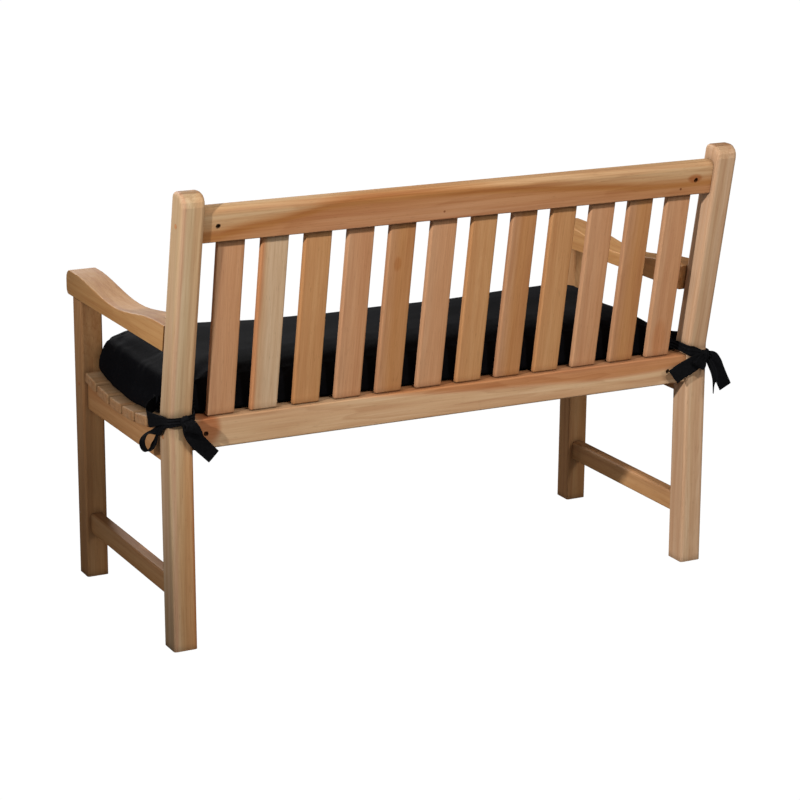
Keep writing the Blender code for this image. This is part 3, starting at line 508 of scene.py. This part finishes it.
def sewn_and_creased(piece, seams):
    """Draws the seams in, with slight puckers beside them, and presses creases and hollows."""
    tree = kdtree.KDTree(len(seams))
    for i, point in enumerate(seams):
        tree.insert(point, i)
    tree.balance()
    points = vectors_of(piece.data.vertices, "co")
    normals = vectors_of(piece.data.vertex_normals, "vector")
    x, y, z = points.T
    away = np.array([tree.find(point)[2] for point in points])
    low, high = (np.array(corner) for corner in CUSHION)
    from_end = np.minimum(x - low[0], high[0] - x)
    from_side = np.minimum(y - low[1], high[1] - y)
    run = np.where(from_end < from_side, y, x)
    pucker = np.sin(run * 170 + 1.3 * np.sin(run * 37)) * (0.5 + 0.5 * np.sin(run * 51 + 2))
    hollow = np.array([
        noise.fractal(Vector((px * 5, py * 8, pz * 8)), 1.0, 2.0, 2) for px, py, pz in points
    ])
    lift = -SEAM_GROOVE * np.exp(-((away / SEAM_HALF) ** 2))
    lift += SEAM_SWELL * np.exp(-(((away - SWELL_AWAY) / 0.007) ** 2))
    lift += PUCKER * pucker * np.exp(-(((away - SWELL_AWAY) / SWELL_AWAY) ** 2))
    lift += HOLLOW * hollow - SEAM_SWELL
    for start, end, depth, width in CREASES:
        a = np.array(start) + np.array(MIDDLE)
        b = np.array(end) + np.array(MIDDLE)
        t = np.clip((points - a) @ (b - a) / ((b - a) @ (b - a)), 0, 1)
        off = np.linalg.norm(points - (a + t[:, None] * (b - a)), axis=1)
        fading = np.sin(np.pi * (0.12 + 0.76 * t))
        lift -= depth * fading * np.exp(-((off / width) ** 2))
        lift += 0.4 * depth * fading * np.exp(-(((off - 1.9 * width) / width) ** 2))
    lift *= smooth_step(z, low[2] + FLAT_BELOW, low[2] + FULL_ABOVE)
    set_points(piece.data, points + normals * lift[:, None])


def make_cushion(finish):
    """One filled cushion: a canvas cover blown out between its seams."""
    node = NODES["cushion"]
    seams = seam_points(node.data)
    piece = new_piece("cushion_filled", node.data.copy(), finish)
    remesh = piece.modifiers.new("even", "REMESH")
    remesh.mode = "VOXEL"
    remesh.voxel_size = VOXEL
    applied(piece)
    puff(piece)
    smooth = piece.modifiers.new("fine", "SUBSURF")
    smooth.levels = smooth.render_levels = 1
    applied(piece)
    sewn_and_creased(piece, seams)
    piece.data.shade_smooth()
    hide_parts("cushion")


# ------------------------------------------------------------------ the ties

TAPE = 0.030  # width of a tie, cut and sewn flat
GATHERED = 0.016  # its width where it is pulled together
TAPE_THICK = 0.0013
HEM = 0.0005  # how much thicker the turned edges are
HEM_LONG = 0.005  # how long a hem across an end is
PLEAT = 0.0030
CURL = 0.0010  # how far the edges curl up or down
UNEVEN = 0.0005
WANDER = 0.0006  # how far the tape strays sideways
ACROSS = 15  # points over the width
PER_SPAN = 7
KNOT_BAND = 0.012  # width of the tape drawn round a knot
THREAD = 0.00035  # half the thickness of a loose thread
POST_Y = 0.2275  # middle of a rear post where it is tied
POST_HALF = 0.024

# Ways that a tape's width points
UP = (0.0, 0.0, 1.0)
SIDEWAYS = (0.0, -1.0, -0.35)
TURNED = (-0.8, 0.5, -0.3)


def row(x, y, z, width=TAPE, across=UP):
    """One place on a tape: its middle, its width and the way that the width points."""
    return (x, y, z, width, *across)


def smooth_path(rows, per_span):
    """Rows of numbers read at even steps from a smooth curve through them."""
    table = np.array(rows, float)
    padded = np.vstack((2 * table[0] - table[1], table, 2 * table[-1] - table[-2]))
    read = []
    for i in range(1, len(padded) - 2):
        before, here, following, later = padded[i - 1 : i + 3]
        for step in range(per_span):
            t = step / per_span
            first = (following - before) * t
            second = (2 * before - 5 * here + 4 * following - later) * t**2
            third = (3 * here - before - 3 * following + later) * t**3
            read.append(0.5 * (2 * here + first + second + third))
    read.append(table[-1])
    return np.array(read)


def close_strip(shape, top, bottom):
    """Makes one closed sheet from two grids of points."""
    grids = [[[shape.verts.new(point) for point in line] for line in grid] for grid in (top, bottom)]
    rows, columns = len(top), len(top[0])
    for grid, turn in zip(grids, (1, -1)):
        for i in range(rows - 1):
            for j in range(columns - 1):
                corners = (grid[i][j], grid[i + 1][j], grid[i + 1][j + 1], grid[i][j + 1])
                shape.faces.new(corners[::turn])
    rim = [(0, j) for j in range(columns)] + [(i, columns - 1) for i in range(1, rows)]
    rim += [(rows - 1, j) for j in range(columns - 2, -1, -1)] + [(i, 0) for i in range(rows - 2, 0, -1)]
    for (i, j), (k, m) in zip(rim, rim[1:] + rim[:1]):
        shape.faces.new((grids[0][i][j], grids[0][k][m], grids[1][k][m], grids[1][i][j]))


def ribbon(shape, rows, seed, ends=(False, True)):
    """Adds a tie's tape along rows: pleated where it is gathered, hemmed along its edges.

    ends says which of its two ends are hemmed across. Returns its length.
    """
    path = smooth_path(rows, PER_SPAN)
    centres, widths, across = path[:, :3], path[:, 3], path[:, 4:]
    across /= np.linalg.norm(across, axis=1)[:, None]
    forward = np.gradient(centres, axis=0)
    steps = np.linalg.norm(np.diff(centres, axis=0), axis=1)
    along = np.concatenate(([0.0], np.cumsum(steps)))
    outward = np.cross(forward, across)
    outward /= np.linalg.norm(outward, axis=1)[:, None]
    post = np.array([math.copysign(HALF_WIDTH - POST_HALF, centres[0][0]), POST_Y])
    side = np.sign(np.mean(np.sum(outward[:, :2] * (centres[:, :2] - post), axis=1)))
    outward *= side if side else 1.0
    share = np.linspace(-1, 1, ACROSS)
    top, bottom = [], []
    for i, centre in enumerate(centres):
        gathered = max(0.0, 1 - widths[i] / TAPE)
        wave = np.sin(share * 8.5 + 2.2 * math.sin(along[i] * 60 + seed) + seed)
        pleat = PLEAT * gathered * (wave + 0.6)
        slack = noise.noise(Vector((along[i] * 45, seed * 3.1, 0.0)))
        bowed = CURL * slack * (share**2 - 0.4)
        uneven = np.array([
            UNEVEN * noise.noise(Vector((along[i] * 90, s * 1.6, seed * 5.7))) for s in share
        ])
        from_end = min(along[i] if ends[0] else 1.0, along[-1] - along[i] if ends[1] else 1.0)
        hemmed = np.maximum(smooth_step(np.abs(share), 0.72, 0.80), 1.0 if from_end < HEM_LONG else 0.0)
        thick = (TAPE_THICK + HEM * hemmed) / 2 * (1 - 0.45 * smooth_step(np.abs(share), 0.9, 1.0))
        wander = WANDER * noise.noise(Vector((along[i] * 55, seed * 2.3, 4.0)))
        line = centre + across[i] * (share * widths[i] / 2 + wander)[:, None]
        lift = pleat + bowed + uneven
        top.append(line + outward[i] * (lift + thick)[:, None] + np.array(MIDDLE))
        bottom.append(line + outward[i] * (lift - thick)[:, None] + np.array(MIDDLE))
    close_strip(shape, top, bottom)
    return along[-1]


def wrapped_knot(shape, centre, size, lean, seed):
    """Adds the band of tape that is drawn tight round a knot, over a creased lump of cloth.

    size is its width, how far it stands off the post, and its height; lean tilts it.
    """
    wide, deep, tall = size
    turn = Matrix.Rotation(lean, 3, "Y")
    place = Vector(centre) + MIDDLE
    made = bmesh.ops.create_uvsphere(shape, u_segments=22, v_segments=14, radius=0.5)
    for vert in made["verts"]:
        square = Vector([math.copysign(abs(2 * value) ** 0.8, value) / 2 for value in vert.co])
        crease = 1 + 0.10 * math.sin(11 * vert.co.x + 7 * vert.co.z + seed)
        vert.co = place + turn @ Vector((square.x * wide, square.y * deep, square.z * tall)) * crease
    stations = 28
    share = np.linspace(-1, 1, 9)
    top, bottom = [], []
    for k in range(stations + 1):
        angle = 2 * math.pi * (k / stations) * 0.97 + seed
        up = Vector((0.0, math.cos(angle) * deep * 0.54, math.sin(angle) * tall * 0.54))
        out = up.normalized()
        lines = [[], []]
        for s in share:
            pleat = 0.0007 * math.sin(s * 7 + 2 * math.sin(angle + seed)) - 0.0012 * s * s
            across = Vector((s * KNOT_BAND / 2 * (1 + 0.15 * math.sin(angle * 2)), 0.0, 0.0))
            for line, way in zip(lines, (1, -1)):
                line.append(place + turn @ (up + across + out * (pleat + way * TAPE_THICK / 2)))
        top.append(lines[0])
        bottom.append(lines[1])
    close_strip(shape, top, bottom)


def frayed(shape, centre, ways, reach):
    """Adds a tuft of loose threads at the corner of a cut end."""
    corners = [math.tau * k / 3 for k in range(3)]
    for k, way in enumerate(ways):
        start = Vector(centre) + MIDDLE
        forward = Vector(way).normalized()
        droop = Vector((0.0, 0.0, -0.35 * reach))
        rings = []
        for i in range(7):
            t = i / 6
            curl = Vector((0.0, math.sin(3 * t + k), math.cos(4 * t + k))) * 0.0008 * t
            middle = start + forward * reach * t + droop * t * t + curl
            rings.append([
                shape.verts.new(middle + THREAD * (1 - 0.5 * t) * Vector((0.0, math.cos(a), math.sin(a))))
                for a in corners
            ])
        for ring, following in zip(rings, rings[1:]):
            for j in range(3):
                shape.faces.new((ring[j], ring[(j + 1) % 3], following[(j + 1) % 3], following[j]))
        shape.faces.new(rings[0][::-1])
        shape.faces.new(rings[-1])


def finish_tie(node, shape, finish):
    """Turns a tie's ribbons into one piece, draped on its post."""
    piece = new_piece(node + "_cloth", mesh_of(node + "_cloth", shape), finish)
    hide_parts(node)


def left_outer_tie(finish):
    """One tape round the outside of the left post, knotted behind it with a short loop over
    a long tail.
    """
    lower_right = (0.707, 0.0, -0.707)
    shape = bmesh.new()
    length = ribbon(shape, [
        row(0.5762, 0.1150, 0.4600, 0.028),
        row(0.5784, 0.1280, 0.4600, 0.028),
        row(0.5880, 0.1400, 0.4600, 0.028),
        row(0.5990, 0.1490, 0.4590, 0.028),
        row(0.6085, 0.1600, 0.4500, TAPE, (0.15, 0.0, 1.0)),
        row(0.6120, 0.1740, 0.4450, 0.031, (0.1, 0.0, 1.0)),
        row(0.6120, 0.1890, 0.4465, 0.029),
        row(0.6105, 0.2040, 0.4500, 0.025),
        row(0.6088, 0.2170, 0.4530, 0.021),
        row(0.6070, 0.2300, 0.4560, 0.018),
        row(0.6060, 0.2420, 0.4575, GATHERED),
        row(0.6026, 0.2512, 0.4575, GATHERED),
        row(0.5930, 0.2540, 0.4570, GATHERED),
        row(0.5820, 0.2546, 0.4565, GATHERED),
        row(0.5740, 0.2575, 0.4560, GATHERED),
    ], 1, ends=(False, False))
    length += ribbon(shape, [
        row(0.5710, 0.2570, 0.4540, 0.018, lower_right),
        row(0.5645, 0.2580, 0.4380, 0.027, lower_right),
        row(0.5520, 0.2590, 0.4200, 0.031, lower_right),
        row(0.5345, 0.2570, 0.4005, TAPE, lower_right),
        row(0.5150, 0.2580, 0.3810, 0.029, lower_right),
    ], 2)
    length += ribbon(shape, [
        row(0.5715, 0.2605, 0.4575, 0.017, (-0.93, 0.0, 0.36)),
        row(0.5675, 0.2680, 0.4575, 0.022, (-0.95, 0.0, 0.20)),
        row(0.5630, 0.2722, 0.4505, 0.028, (-0.95, 0.0, -0.15)),
        row(0.5600, 0.2722, 0.4415, 0.036, (-0.93, 0.0, -0.37)),
        row(0.5592, 0.2692, 0.4352, 0.040, (-0.93, 0.0, -0.37)),
        row(0.5605, 0.2662, 0.4385, 0.038, (-0.93, 0.0, -0.37)),
        row(0.5640, 0.2635, 0.4455, 0.029, (-0.95, 0.0, -0.20)),
        row(0.5705, 0.2600, 0.4515, 0.016, (-0.95, 0.0, 0.10)),
    ], 3, ends=(False, False))
    wrapped_knot(shape, (0.5725, 0.2602, 0.4560), (0.017, 0.0140, 0.022), 0.25, 0.4)
    frayed(shape, (0.5400, 0.2700, 0.4285), ((-1.0, 0.1, 0.5), (-1.0, 0.0, 0.1), (-0.8, 0.2, 0.8)), 0.007)
    finish_tie("tie_left_outer", shape, finish)


def left_inner_tie(finish):
    """The other runs under it and ends in a loop that droops outside the post."""
    shape = bmesh.new()
    length = ribbon(shape, [
        row(0.5300, 0.2044, 0.4740, GATHERED),
        row(0.5385, 0.2085, 0.4735, GATHERED),
        row(0.5455, 0.2180, 0.4710, GATHERED),
        row(0.5486, 0.2300, 0.4680, GATHERED),
        row(0.5490, 0.2425, 0.4640, GATHERED),
        row(0.5530, 0.2508, 0.4600, GATHERED),
        row(0.5660, 0.2514, 0.4575, GATHERED),
        row(0.5790, 0.2514, 0.4560, GATHERED),
        row(0.5905, 0.2510, 0.4550, GATHERED),
        row(0.6000, 0.2498, 0.4540, GATHERED),
        row(0.6036, 0.2405, 0.4520, GATHERED),
        row(0.6036, 0.2290, 0.4465, 0.018, (0.0, -0.25, 1.0)),
        row(0.6042, 0.2165, 0.4365, 0.020, (0.0, -0.6, 0.8)),
        row(0.6075, 0.2020, 0.4260, 0.023, (0.0, -0.95, 0.3)),
        row(0.6195, 0.1830, 0.4185, 0.027, SIDEWAYS),
        row(0.6255, 0.1770, 0.4060, TAPE, SIDEWAYS),
        row(0.6235, 0.1740, 0.3910, TAPE, SIDEWAYS),
        row(0.6155, 0.1740, 0.3815, TAPE, SIDEWAYS),
        row(0.6082, 0.1790, 0.3880, TAPE, SIDEWAYS),
        row(0.6055, 0.1860, 0.4010, 0.028, SIDEWAYS),
        row(0.6042, 0.1910, 0.4120, 0.022, (0.0, -1.0, -0.50)),
        row(0.6030, 0.1950, 0.4200, 0.017, (0.0, -0.9, -0.60)),
    ], 4, ends=(False, False))
    finish_tie("tie_left_inner", shape, finish)


def right_inner_tie(finish):
    """A tape from inside the right post, knotted near its outer edge, with a broad tail, a
    folded loop and a thin twisted strand.
    """
    lower_left = (-0.62, 0.0, -0.78)
    shape = bmesh.new()
    length = ribbon(shape, [
        row(-0.5300, 0.2044, 0.4690, 0.018),
        row(-0.5380, 0.2085, 0.4685, 0.018),
        row(-0.5450, 0.2180, 0.4670, 0.019),
        row(-0.5482, 0.2300, 0.4650, 0.020),
        row(-0.5486, 0.2425, 0.4638, 0.020),
        row(-0.5528, 0.2518, 0.4620, 0.022),
        row(-0.5650, 0.2526, 0.4580, 0.023),
        row(-0.5760, 0.2545, 0.4540, 0.021),
        row(-0.5850, 0.2570, 0.4500, 0.018),
    ], 5, ends=(False, False))
    length += ribbon(shape, [
        row(-0.5870, 0.2585, 0.4485, 0.014, (-0.45, 0.0, -0.9)),
        row(-0.5730, 0.2620, 0.4435, 0.028, (-0.5, 0.0, -0.86)),
        row(-0.5560, 0.2620, 0.4345, 0.036, lower_left),
        row(-0.5350, 0.2590, 0.4240, 0.037, lower_left),
        row(-0.5115, 0.2590, 0.4115, 0.037, lower_left),
    ], 6)
    length += ribbon(shape, [
        row(-0.5930, 0.2600, 0.4460, 0.017, TURNED),
        row(-0.5985, 0.2645, 0.4340, 0.020, TURNED),
        row(-0.6040, 0.2680, 0.4190, 0.019, TURNED),
        row(-0.6075, 0.2690, 0.4040, 0.014, TURNED),
        row(-0.6070, 0.2680, 0.3890, 0.005, TURNED),
        row(-0.6065, 0.2675, 0.3680, 0.002, TURNED),
    ], 7, ends=(False, False))
    length += ribbon(shape, [
        row(-0.5870, 0.2615, 0.4500, 0.013, (-0.45, 0.0, -0.9)),
        row(-0.5770, 0.2690, 0.4440, 0.026, (-0.60, 0.0, -0.80)),
        row(-0.5690, 0.2720, 0.4360, 0.030, (-0.80, 0.0, -0.60)),
        row(-0.5650, 0.2695, 0.4310, 0.030, (-0.80, 0.0, -0.60)),
        row(-0.5690, 0.2662, 0.4350, 0.030, (-0.80, 0.0, -0.60)),
        row(-0.5780, 0.2640, 0.4410, 0.022, (-0.60, 0.0, -0.80)),
        row(-0.5870, 0.2600, 0.4450, 0.012, (-0.45, 0.0, -0.9)),
    ], 8, ends=(False, False))
    wrapped_knot(shape, (-0.5865, 0.2590, 0.4480), (0.015, 0.0140, 0.024), -0.2, 1.7)
    frayed(shape, (-0.5020, 0.2595, 0.4215), ((1.0, 0.1, 0.3), (1.0, 0.0, -0.3), (1.0, 0.2, 0.7)), 0.008)
    finish_tie("tie_right_inner", shape, finish)


def right_outer_tie(finish):
    """A tape round the outside of the right post, through the knot to a flat free end."""
    shape = bmesh.new()
    length = ribbon(shape, [
        row(-0.5762, 0.1150, 0.4600, 0.028),
        row(-0.5784, 0.1280, 0.4600, 0.028),
        row(-0.5880, 0.1400, 0.4600, 0.028),
        row(-0.5990, 0.1490, 0.4590, 0.028),
        row(-0.6070, 0.1610, 0.4520, 0.029),
        row(-0.6090, 0.1750, 0.4480, 0.029),
        row(-0.6075, 0.1900, 0.4480, 0.027),
        row(-0.6055, 0.2050, 0.4490, 0.023),
        row(-0.6042, 0.2200, 0.4500, 0.019),
        row(-0.6036, 0.2330, 0.4500, GATHERED),
        row(-0.6034, 0.2420, 0.4500, GATHERED),
        row(-0.6015, 0.2485, 0.4500, GATHERED),
        row(-0.5985, 0.2525, 0.4500, GATHERED),
        row(-0.5970, 0.2565, 0.4503, GATHERED),
        row(-0.5985, 0.2608, 0.4505, GATHERED),
        row(-0.6030, 0.2630, 0.4485, 0.019, (-0.45, 0.0, 0.9)),
        row(-0.6085, 0.2620, 0.4420, 0.025, (-0.8, 0.0, 0.6)),
        row(-0.6150, 0.2600, 0.4310, 0.029, (-0.9, 0.0, 0.43)),
        row(-0.6240, 0.2580, 0.4130, TAPE, (-0.9, 0.0, 0.43)),
        row(-0.6330, 0.2590, 0.3945, TAPE, (-0.9, 0.0, 0.43)),
        row(-0.6420, 0.2600, 0.3760, TAPE, (-0.9, 0.0, 0.43)),
    ], 9)
    finish_tie("tie_right_outer", shape, finish)


# ------------------------------------------------------------------ screw plugs

PLUG = 0.0095  # diameter
PLUG_PROUD = 0.0004
PLUG_PLACES = ((0.2954, 0.836), (0.2160, 0.420), (-0.2320, 0.410))  # Y and Z on each side


def make_plugs(finish):
    """Round wooden plugs over the screws in the outer faces of the posts and front legs."""
    shape = bmesh.new()
    for side in (1, -1):
        for y, z in PLUG_PLACES:
            place = Matrix.Translation(Vector((side * HALF_WIDTH, y, z)) + MIDDLE)
            bmesh.ops.create_cone(shape, cap_ends=True, segments=28, radius1=PLUG / 2, radius2=PLUG / 2,
                                  depth=2 * PLUG_PROUD, matrix=place @ Matrix.Rotation(math.pi / 2, 4, "Y"))
    rims = [edge for edge in shape.edges if edge.calc_face_angle(0.0) > 1.0]
    bmesh.ops.bevel(shape, geom=rims, offset=0.0003, segments=2, affect="EDGES", profile=0.5)
    piece = new_piece("screw_plugs", mesh_of("screw_plugs", shape), finish)
    piece.data.set_sharp_from_angle(angle=math.radians(40))


# ------------------------------------------------------------------ floor, light and camera

FLOOR_HALF = 40.0
FLOOR_DROP = 0.0005  # how far the floor lies under the feet
SPOT_CONE = math.radians(24)

# Where the lamps aim, measured from the bench's middle
BACK = (0.0, 0.2, 0.55)
MIDWAY = (0.0, 0.1, 0.5)
UPPER_RIGHT = (-0.35, 0.2, 0.85)


def seen_by_camera(tree, seen, other):
    """One shader for the camera and another for the light that bounces."""
    share = add(tree, "ShaderNodeLightPath").outputs["Is Camera Ray"]
    return add(tree, "ShaderNodeMixShader", {0: share, 1: other, 2: seen})


def stage_set():
    """A plain white floor, cut out as bright as the photograph's, that throws little light back."""
    mesh = bpy.data.meshes.new("floor")
    corners = [(x * FLOOR_HALF, y * FLOOR_HALF, 0) for x, y in ((-1, -1), (1, -1), (1, 1), (-1, 1))]
    mesh.from_pydata(corners, [], [(0, 1, 2, 3)])
    floor = bpy.data.objects.new("floor", mesh)
    bpy.context.scene.collection.objects.link(floor)
    floor.location.z = -FLOOR_DROP
    paint, tree = empty_material("white_floor")
    matt = add(tree, "ShaderNodeBsdfDiffuse", {"Color": linear("#6c6c6c")})
    glow = add(tree, "ShaderNodeEmission", {"Color": linear("#ffffff"), "Strength": 1.02})
    add(tree, "ShaderNodeOutputMaterial", {"Surface": seen_by_camera(tree, glow, matt)})
    mesh.materials.append(paint)


def light(name, kind, place, aim, size, power):
    """A white round lamp, or a spot with a soft edge; places are measured from the middle."""
    data = bpy.data.lights.new(name, kind)
    data.energy = power
    if kind == "SPOT":
        data.shadow_soft_size = size
        data.spot_size = SPOT_CONE
        data.spot_blend = 1.0
    else:
        data.shape = "DISK"
        data.size = size
    made = bpy.data.objects.new(name, data)
    bpy.context.scene.collection.objects.link(made)
    made.location = Vector(place) + MIDDLE
    made.rotation_euler = (Vector(aim) - Vector(place)).to_track_quat("-Z", "Y").to_euler()


def light_set():
    """A hard key that grazes the back from the left and fades out low at the left end, with
    soft light from behind and from the front.
    """
    world = bpy.data.worlds.new("studio")
    world.use_nodes = True
    tree = world.node_tree
    tree.nodes.clear()
    white = add(tree, "ShaderNodeBackground", {"Color": linear("#ffffff"), "Strength": 1.0})
    dim = add(tree, "ShaderNodeBackground", {"Color": linear("#ffffff"), "Strength": 0.015})
    add(tree, "ShaderNodeOutputWorld", {"Surface": seen_by_camera(tree, white, dim)})
    bpy.context.scene.world = world
    bpy.context.scene.view_settings.view_transform = "Standard"
    light("key", "SPOT", (5.110, 2.329, 2.892), UPPER_RIGHT, 0.1, 1120.0)
    light("behind", "AREA", (0.0, 4.443, 4.793), BACK, 0.25, 125.0)
    light("behind_right", "AREA", (-2.5, 3.5, 2.5), MIDWAY, 1.5, 46.0)
    light("by_camera", "AREA", (2.3, 4.4, 2.0), MIDWAY, 1.5, 22.0)
    light("low_left", "AREA", (4.5, 0.5, 0.8), MIDWAY, 1.5, 17.0)
    light("front", "AREA", (0.0, -4.5, 2.5), MIDWAY, 2.0, 182.0)


# The camera's place, measured from the middle of the bench, and the way it looks
CAMERA_PLACE = Vector((2.2673, 4.3523, 1.7751))
CAMERA_TURN = math.radians(152.3453)
CAMERA_DOWN = math.radians(16.0866)
CAMERA_ROLL = math.radians(0.5236)
FOCAL_SHARE = 3.0994  # focal length over the sensor's width


def camera_set():
    """The camera that took the photograph, as its perspective gives it."""
    ahead = Vector((
        -math.sin(CAMERA_TURN) * math.cos(CAMERA_DOWN),
        math.cos(CAMERA_TURN) * math.cos(CAMERA_DOWN),
        -math.sin(CAMERA_DOWN),
    ))
    level = Vector((math.cos(CAMERA_TURN), math.sin(CAMERA_TURN), 0.0))
    upright = level.cross(ahead)
    right = level * math.cos(CAMERA_ROLL) + upright * math.sin(CAMERA_ROLL)
    up = upright * math.cos(CAMERA_ROLL) - level * math.sin(CAMERA_ROLL)
    data = bpy.data.cameras.new("camera")
    data.sensor_width = 36.0
    data.lens = FOCAL_SHARE * data.sensor_width
    data.clip_end = 200.0
    made = bpy.data.objects.new("camera", data)
    bpy.context.scene.collection.objects.link(made)
    axes = Matrix((right, up, -ahead)).transposed().to_4x4()
    made.matrix_world = Matrix.Translation(CAMERA_PLACE + MIDDLE) @ axes
    bpy.context.scene.camera = made


canvas = woven("canvas_dyed_black", "#0a0a0c", "#131316", 0.0012, 0.006, 0.85)
tape_cloth = woven("tape_woven_black", "#0c0c0d", "#18181a", 0.0008, 0.02, 0.80)
plug_wood = teak("teak_plug_end_grain", "y", tuple(MIDDLE), 0.05, PALE, 60)
camera_set()
stage_set()
light_set()
dress_slats()
dress_posts_and_legs()
dress_rails()
make_cushion(canvas)
left_outer_tie(tape_cloth)
left_inner_tie(tape_cloth)
right_inner_tie(tape_cloth)
right_outer_tie(tape_cloth)
make_plugs(plug_wood)
